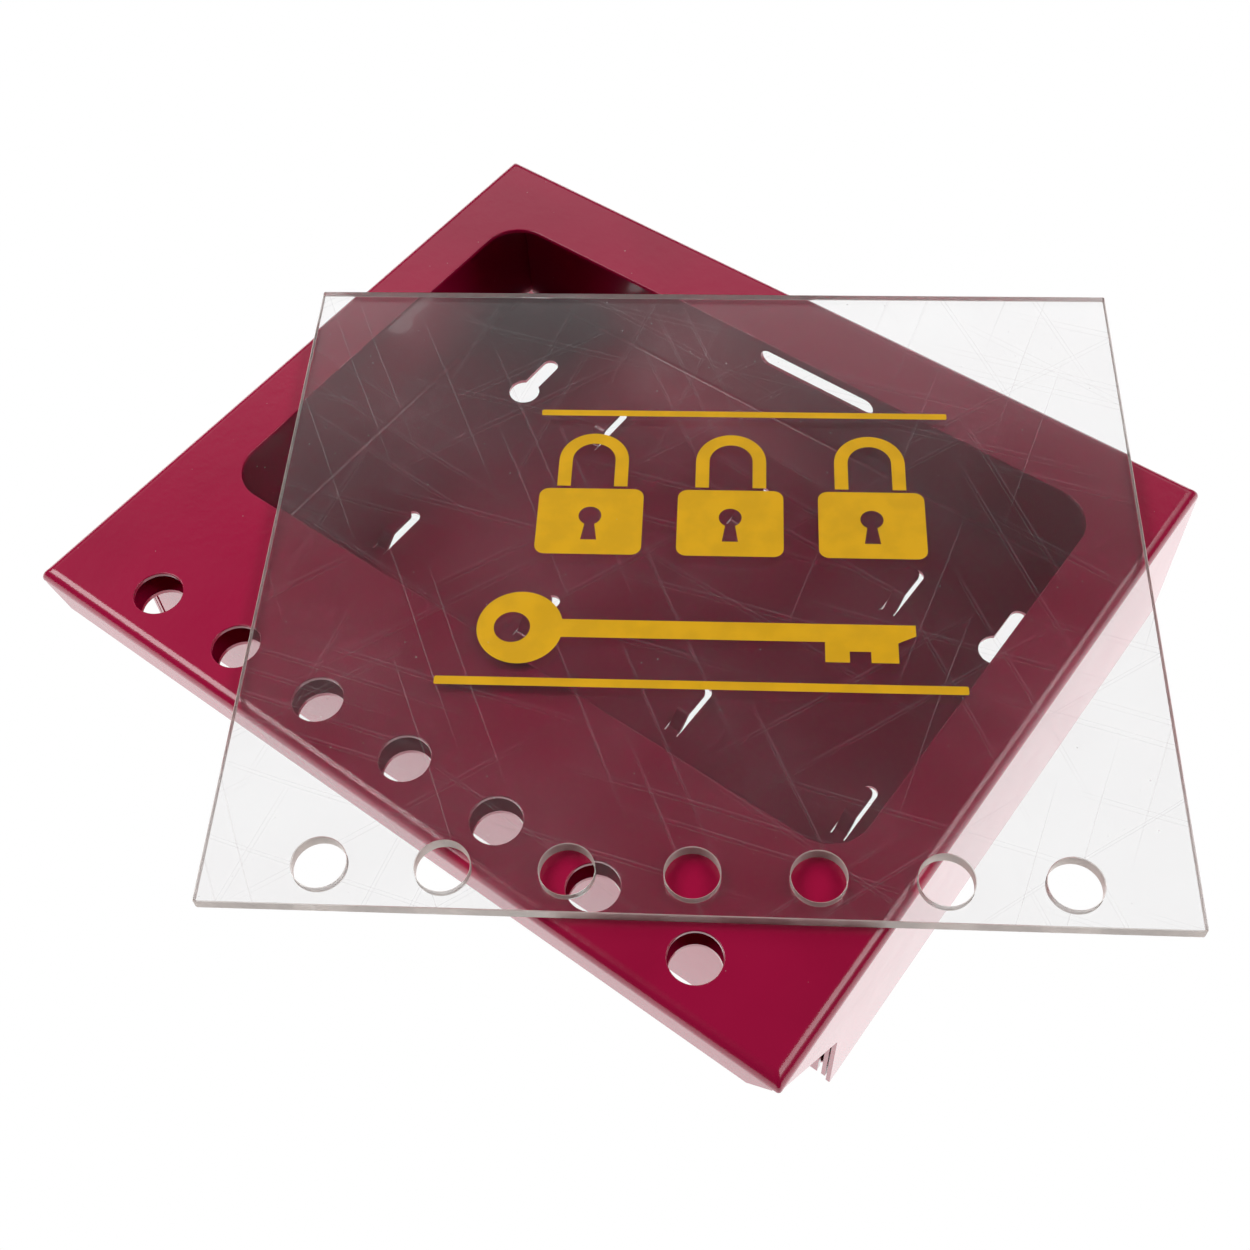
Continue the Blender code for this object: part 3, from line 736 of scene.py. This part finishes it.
class LOCKOUT_OT_tray(bpy.types.Operator):
    """Folded back tray with its flanges, shelf, rail, lanced hooks and keyholes"""

    bl_idname = "lockout.tray"
    bl_label = "Back tray"

    def execute(self, context):
        shell = context.scene.lockout_shell
        tray = context.scene.lockout_tray
        locks = context.scene.lockout_locks
        self.half = shell.width / 2 - shell.sheet - TRAY_GAP
        self.top = shell.height / 2 - shell.sheet - TRAY_GAP
        self.shelf = shell.cut_height - shell.height / 2
        self.side_line = self.half - tray.bend
        self.top_line = self.top - tray.bend
        self.shelf_line = self.shelf + tray.bend
        self.middle = shell.sheet / 2
        bm = bmesh.new()
        panel, feet = self.add_back(bm, shell, tray)
        low_left, low_right, high_right, high_left = panel
        for foot, place in zip(feet, self.hook_places(shell, tray)):
            self.add_tongue(bm, tray, foot, place)
        self.add_side_flange(bm, tray, (low_left, high_left), -1)
        self.add_side_flange(bm, tray, (low_right, high_right), 1)
        front = tray.rail_front
        start = (0, self.middle)
        upper = [start, (self.top - self.middle, self.middle), (self.top - self.middle, front)]
        self.add_cross_flange(bm, tray, (high_left, high_right), upper)
        rail = front - self.middle
        end = (shell.sheet + RAIL_EDGE_PLAY - shell.height / 2, rail)
        fold = self.shelf + self.middle
        lower = [start, (fold, self.middle), (fold, rail), end]
        self.add_cross_flange(bm, tray, (low_left, low_right), lower)
        made = new_object("tray_sheet", bm, finish_named("gloss_crimson_coat", coat_finish))
        sheet = made.modifiers.new("sheet", "SOLIDIFY")
        sheet.thickness = shell.sheet
        sheet.offset = 0
        sheet.use_even_offset = True
        self.cut_openings(made, shell, tray, locks)
        shade(made, 0.00022)
        dress(made, "tray", "crimson_coat", *TRAY_NODES)
        return {"FINISHED"}

    def hook_places(self, shell, tray):
        """The foot of each hook's slit, as (across, up)."""
        places = []
        bottom = tray.low_height - shell.height / 2
        top = shell.height / 2 - tray.high_drop
        for count, height in ((tray.low_hooks, bottom), (tray.high_hooks, top)):
            for index in range(count):
                places.append((tray.hook_pitch * (index - (count - 1) / 2), height))
        return places

    def strip(self, bm, edge, places):
        """A strip of sheet that leaves an edge; each place gives the next row's two ends."""
        row = edge
        for ends in places:
            following = [bm.verts.new(end) for end in ends]
            bm.faces.new((row[0], row[1], following[1], following[0]))
            row = following
        return row

    def add_back(self, bm, shell, tray):
        """The flat back with its slits; gives its corners and the tongues' feet."""
        corners = [
            (-self.side_line, self.shelf_line), (self.side_line, self.shelf_line),
            (self.side_line, self.top_line), (-self.side_line, self.top_line),
        ]
        loops = [[bm.verts.new((across, up, self.middle)) for across, up in corners]]
        feet = []
        radius = tray.hook_width / 2
        tongue = radius - HOOK_SIDE_PLAY
        for across, up in self.hook_places(shell, tray):
            slit = [(across + side, up) for side in (-radius, -tongue, tongue, radius)]
            slit += arc((across, up + tray.hook_length - radius), radius, 0, math.pi, END_STEPS)
            loops.append([bm.verts.new((x, y, self.middle)) for x, y in slit])
            feet.append((loops[-1][1], loops[-1][2]))
        edges = []
        for loop in loops:
            edges += [bm.edges.new((loop[index - 1], corner)) for index, corner in enumerate(loop)]
        bmesh.ops.triangle_fill(bm, edges=edges, use_beauty=True)
        return loops[0], feet

    def add_tongue(self, bm, tray, foot, place):
        """A hook: it leaves the slit's foot, steps forward and runs up to a round tip."""
        across, up = place
        half = tray.hook_width / 2 - HOOK_SIDE_PLAY
        raised = self.middle + tray.hook_offset
        corners = [
            (up, self.middle), (up + tray.hook_bend, self.middle),
            (up + tray.hook_bend + tray.hook_offset, raised), (up + tray.hook_reach - half, raised),
        ]
        places = []
        for point in bent_path(corners, tray.hook_bend, TONGUE_STEPS)[1:]:
            places.append(((across - half, *point), (across + half, *point)))
        for step in range(1, BEND_STEPS):
            angle = math.pi / 2 * step / BEND_STEPS
            width = half * math.cos(angle)
            height = up + tray.hook_reach - half + half * math.sin(angle)
            places.append(((across - width, height, raised), (across + width, height, raised)))
        self.strip(bm, foot, places)

    def add_side_flange(self, bm, tray, edge, side):
        """A flange that stands inside the shell's side wall, as long as the shelf is deep."""
        outer = self.half - self.middle
        corners = [(0, self.middle), (outer, self.middle), (outer, tray.rail_front)]
        places = []
        for across, height in bent_path(corners, tray.bend - self.middle, BEND_STEPS)[2:-1]:
            low = (side * across, self.shelf_line, height)
            places.append((low, (side * across, self.top_line, height)))
        low, high = self.strip(bm, edge, places)
        foot = low.co.z
        flange = [
            (self.shelf, foot), (self.shelf, tray.rail_front),
            (self.top, tray.rail_front), (self.top, foot),
        ]
        bm.faces.new([low, *[bm.verts.new((low.co.x, up, height)) for up, height in flange], high])

    def add_cross_flange(self, bm, tray, edge, corners):
        """A flange that runs across the tray, folded through corners given as (up, height)."""
        places = []
        for up, height in bent_path(corners, tray.bend - self.middle, BEND_STEPS)[2:]:
            places.append(((-self.side_line, up, height), (self.side_line, up, height)))
        self.strip(bm, edge, places)

    def keyhole(self, shell, tray, side):
        """A round head that takes a screw's head, and a neck that runs up from it."""
        across = side * (shell.width / 2 - tray.keyhole_inset)
        seat = shell.height / 2 - tray.keyhole_drop
        head, neck = tray.keyhole_head / 2, tray.keyhole_neck / 2
        meeting = math.acos(neck / head)
        centre = (across, seat - tray.keyhole_travel)
        outline = arc(centre, head, math.pi - meeting, 2 * math.pi + meeting, HOLE_STEPS)
        return outline + arc((across, seat), neck, 0, math.pi, END_STEPS)

    def cut_openings(self, made, shell, tray, locks):
        """Corner reliefs, keyholes, the rail's padlock holes and the key slot."""
        bm = bmesh.new()
        for side in (-1, 1):
            for up in (self.shelf_line - RELIEF_INSET, self.top_line + RELIEF_INSET):
                relief = circle((side * (self.side_line + RELIEF_INSET), up), RELIEF_RADIUS)
                add_prism(bm, relief, -OVERRUN, tray.bend + OVERRUN)
        cut(made, bm)
        bm = bmesh.new()
        for side in (-1, 1):
            add_prism(bm, self.keyhole(shell, tray, side), -OVERRUN, shell.sheet + OVERRUN)
        row = locks.height - shell.height / 2
        for across in lock_places(locks):
            hole = circle((across, row), locks.diameter / 2)
            behind = tray.rail_front - shell.sheet - OVERRUN
            add_prism(bm, hole, behind, tray.rail_front + OVERRUN)
        cut(made, bm)
        bm = bmesh.new()
        low, high = self.top - shell.sheet - OVERRUN, self.top + TRAY_GAP / 2
        add_prism(bm, slot_outline(shell, 0), low, high, "XZ")
        cut(made, bm)


def cover_place(shell, cover):
    """Where the cover's lower middle lies on the face, and its turn."""
    corner = Vector((cover.corner_across - shell.width / 2, -cover.corner_below - shell.height / 2))
    along = Vector((math.cos(cover.turn), math.sin(cover.turn)))
    middle = corner + along * cover.width / 2
    return (middle.x, middle.y, COVER_LOW.z), (0, 0, cover.turn)


class LOCKOUT_OT_cover(bpy.types.Operator):
    """Clear acrylic cover with its padlock holes, laid askew on the face"""

    bl_idname = "lockout.cover"
    bl_label = "Clear cover"

    def execute(self, context):
        cover = context.scene.lockout_cover
        locks = context.scene.lockout_locks
        half, chamfer = cover.width / 2, cover.chamfer
        high = cover.thickness - INK_RAISE
        small = rounded_rectangle(
            (chamfer - half, chamfer), (half - chamfer, cover.height - chamfer), 0.0004, 2
        )
        wide = grown(small, chamfer)
        bm = bmesh.new()
        add_loft(bm, [(small, 0), (wide, chamfer), (wide, high - chamfer), (small, high)])
        plate = new_object(
            "cover_plate", bm,
            finish_named("worn_clear_acrylic", acrylic_finish),
            finish_named("sawn_acrylic_edge", acrylic_edge_finish),
        )
        bm = bmesh.new()
        for across in lock_places(locks):
            hole = circle((across, cover.row), locks.diameter / 2)
            wide = grown(hole, chamfer)
            add_loft(bm, [
                (wide, -OVERRUN), (wide, 0), (hole, chamfer),
                (hole, high - chamfer), (wide, high), (wide, high + OVERRUN),
            ])
        cut(plate, bm)
        for face in plate.data.polygons:
            face.material_index = 0 if abs(face.normal.z) > 0.9 else 1
        shade(plate)
        plate.location, plate.rotation_euler = cover_place(context.scene.lockout_shell, cover)
        context.view_layer.update()
        dress(plate, "cover", "clear_acrylic", "clear_cover")
        return {"FINISHED"}


class LOCKOUT_OT_print(bpy.types.Operator):
    """Yellow print on the cover: two rules with plain padlocks and a key between them"""

    bl_idname = "lockout.cover_print"
    bl_label = "Cover print"

    def execute(self, context):
        sizes = context.scene.lockout_print
        upper = self.rule(sizes.left_high, sizes.right, sizes.high, sizes.thin)
        lower = self.rule(sizes.left_low, sizes.right, sizes.low, sizes.thick)
        self.lay(context, "print_rule_upper", [[upper]])
        self.lay(context, "print_rule_lower", [[lower]])
        span = sizes.right - sizes.left_high
        for index, place in enumerate((1 / 6, 1 / 2, 5 / 6)):
            centre = (sizes.left_high + span * place - 0.004, sizes.high - 0.010)
            self.lay(context, f"print_padlock_{index + 1}", self.padlock(centre))
        self.lay(context, "print_key", self.key((sizes.left_low + 0.012, sizes.low + 0.0215)))
        return {"FINISHED"}

    def rule(self, left, right, middle, width):
        """A straight rule with slightly soft ends."""
        low, high = middle - width / 2, middle + width / 2
        return rounded_rectangle((left, low), (right, high), width / 5, 3)

    def padlock(self, top):
        """A plain padlock hanging from its top middle, as a shackle and a body with a keyhole."""
        across, up = top
        body_half, body_height, body_corner = 0.0185, 0.029, 0.0035
        radius, bar, leg, gap = 0.0125, 0.0048, 0.012, 0.0012
        eye_radius, half_gap, foot_half, foot_drop, eye_share = 0.0040, 0.45, 0.0028, 0.0105, 0.42
        crown = up - radius
        foot = crown - leg
        shackle = [(across + radius, foot)] + arc((across, crown), radius, 0, math.pi, END_STEPS)
        shackle += [(across - radius, foot), (across - radius + bar, foot)]
        shackle += arc((across, crown), radius - bar, math.pi, 0, END_STEPS)
        shackle += [(across + radius - bar, foot)]
        edge = foot - gap
        low, high = (across - body_half, edge - body_height), (across + body_half, edge)
        body = rounded_rectangle(low, high, body_corner, 6)
        eye = (across, edge - body_height * eye_share)
        first, last = -math.pi / 2 + half_gap, 3 * math.pi / 2 - half_gap
        keyhole = arc(eye, eye_radius, first, last, END_STEPS)
        base = eye[1] - foot_drop
        keyhole += [(across - foot_half, base), (across + foot_half, base)]
        return [[shackle], [body, keyhole]]

    def key(self, middle):
        """A plain key lying level, its bow at the left."""
        across, up = middle
        bow = 0.0145
        blade = 0.0036
        joint = math.asin(blade / bow)
        outline = arc((across + bow, up), bow, joint, 2 * math.pi - joint, HOLE_STEPS // 2)
        tip = across + 0.146
        for back, blades in KEY_TEETH:
            outline.append((tip - back, up - blade * blades))
        outline.append((tip, up + blade))
        return [[outline, circle((across + bow * 0.82, up), bow * 0.42)]]

    def lay(self, context, name, shapes):
        """Ink of an outline with holes, on the acrylic's front."""
        cover = context.scene.lockout_cover
        bm = bmesh.new()
        for loops in shapes:
            edges = []
            for loop in loops:
                ring = [bm.verts.new((x - cover.width / 2, y, 0)) for x, y in loop]
                for index, corner in enumerate(ring):
                    edges.append(bm.edges.new((ring[index - 1], corner)))
            bmesh.ops.triangle_fill(bm, edges=edges, use_beauty=True)
        bmesh.ops.recalc_face_normals(bm, faces=bm.faces)
        raised = bmesh.ops.extrude_face_region(bm, geom=bm.faces[:])
        moved = [part for part in raised["geom"] if isinstance(part, bmesh.types.BMVert)]
        bmesh.ops.translate(bm, vec=(0, 0, INK_RAISE), verts=moved)
        ink = new_object(name, bm, finish_named("yellow_ink", ink_finish))
        place, turn = cover_place(context.scene.lockout_shell, cover)
        ink.location = (place[0], place[1], place[2] + cover.thickness - INK_RAISE)
        ink.rotation_euler = turn
        context.view_layer.update()
        dress(ink, "cover", "clear_acrylic")


class LOCKOUT_OT_studio(bpy.types.Operator):
    """Pale floor, soft light and the camera"""

    bl_idname = "lockout.studio"
    bl_label = "Studio"

    def execute(self, context):
        studio = context.scene.lockout_studio
        self.add_floor(studio)
        self.add_sky(context, studio)
        self.add_softbox(context, "left_softbox", studio.left_box, LEFT_BOX, LEFT_BOX_SIZE)
        self.add_softbox(context, "right_softbox", studio.right_box, RIGHT_BOX, RIGHT_BOX_SIZE)
        self.add_camera(context)
        context.scene.view_settings.view_transform = "Standard"
        return {"FINISHED"}

    def add_floor(self, studio):
        """A plain pale floor that is lit through, as on a light table."""
        bm = bmesh.new()
        bmesh.ops.create_grid(bm, x_segments=2, y_segments=2, size=3.0)
        bmesh.ops.translate(bm, vec=(0, 0, -FLOOR_GAP), verts=bm.verts)
        material = bpy.data.materials.new("pale_floor")
        pale = Finish(material)
        path = "ShaderNodeLightPath"
        glossy = pale.node(path, None, None, "Is Glossy Ray")
        glossy = glossy * pale.node(path, None, None, "Is Reflection Ray")
        diffuse = pale.node(path, None, None, "Is Diffuse Ray")
        strength = glossy * (studio.floor_glow - studio.floor)
        strength = strength + diffuse * (studio.floor_fill - studio.floor) + studio.floor
        values = {"Color": four((1, 1, 1)), "Strength": strength}
        shader = pale.node("ShaderNodeEmission", None, values)
        pale.node("ShaderNodeOutputMaterial", None, {"Surface": shader})
        new_object("pale_floor", bm, material)

    def add_sky(self, context, studio):
        """A dark studio with one band of light behind the box."""
        world = bpy.data.worlds.new("studio")
        context.scene.world = world
        sky = Finish(world)
        place = sky.node("ShaderNodeTexCoord", None, None, "Generated")
        height = sky.node("ShaderNodeSeparateXYZ", None, {0: place}, "Z")
        behind = sky.node("ShaderNodeSeparateXYZ", None, {0: place}, "Y")
        band = height.between(*BAND_RISE) * (1 - height.between(*BAND_FALL))
        strength = band * behind.between(*BAND_BEHIND) * studio.band + studio.sky
        values = {"Color": four((1, 1, 1)), "Strength": strength}
        shader = sky.node("ShaderNodeBackground", None, values)
        sky.node("ShaderNodeOutputWorld", None, {"Surface": shader})

    def add_softbox(self, context, name, power, place, size):
        """A soft box that hangs level and faces down."""
        light = bpy.data.lights.new(name, "AREA")
        light.shape = "RECTANGLE"
        light.size, light.size_y = size
        light.energy = power
        lamp = bpy.data.objects.new(name, light)
        context.scene.collection.objects.link(lamp)
        lamp.location = place

    def add_camera(self, context):
        """The camera at the photograph's place."""
        data = bpy.data.cameras.new("camera")
        data.sensor_width = CAMERA_SENSOR
        data.lens = CAMERA_LENS
        data.clip_start = 0.01
        camera = bpy.data.objects.new("camera", data)
        context.scene.collection.objects.link(camera)
        back = -CAMERA_FORWARD.normalized()
        right = CAMERA_UP.cross(back).normalized()
        up = back.cross(right)
        turn = Matrix((right, up, back)).transposed().to_4x4()
        camera.matrix_world = Matrix.Translation(CAMERA_PLACE) @ turn
        context.scene.camera = camera


class LOCKOUT_PT_panel(bpy.types.Panel):
    """Lists the pieces of the lockout box"""

    bl_idname = "LOCKOUT_PT_panel"
    bl_label = "Lockout box"
    bl_space_type = "VIEW_3D"
    bl_region_type = "UI"
    bl_category = "Lockout"

    def draw(self, context):
        for operator in OPERATORS:
            self.layout.operator(operator.bl_idname)


OPERATORS = (
    LOCKOUT_OT_studio, LOCKOUT_OT_shell, LOCKOUT_OT_tray, LOCKOUT_OT_cover, LOCKOUT_OT_print,
)
GROUPS = {
    "lockout_shell": LockoutShellSizes,
    "lockout_locks": LockoutPadlockSizes,
    "lockout_tray": LockoutTraySizes,
    "lockout_cover": LockoutCoverSizes,
    "lockout_print": LockoutPrintSizes,
    "lockout_finishes": LockoutFinishes,
    "lockout_studio": LockoutStudio,
}
CLASSES = (*GROUPS.values(), *OPERATORS, LOCKOUT_PT_panel)


def register():
    for each in CLASSES:
        bpy.utils.register_class(each)
    for name, group in GROUPS.items():
        setattr(bpy.types.Scene, name, PointerProperty(type=group))


def unregister():
    for name in GROUPS:
        delattr(bpy.types.Scene, name)
    for each in reversed(CLASSES):
        bpy.utils.unregister_class(each)


def main():
    register()
    bpy.ops.lockout.studio()
    bpy.ops.lockout.shell()
    bpy.ops.lockout.tray()
    bpy.ops.lockout.cover()
    bpy.ops.lockout.cover_print()


if __name__ == "__main__":
    main()
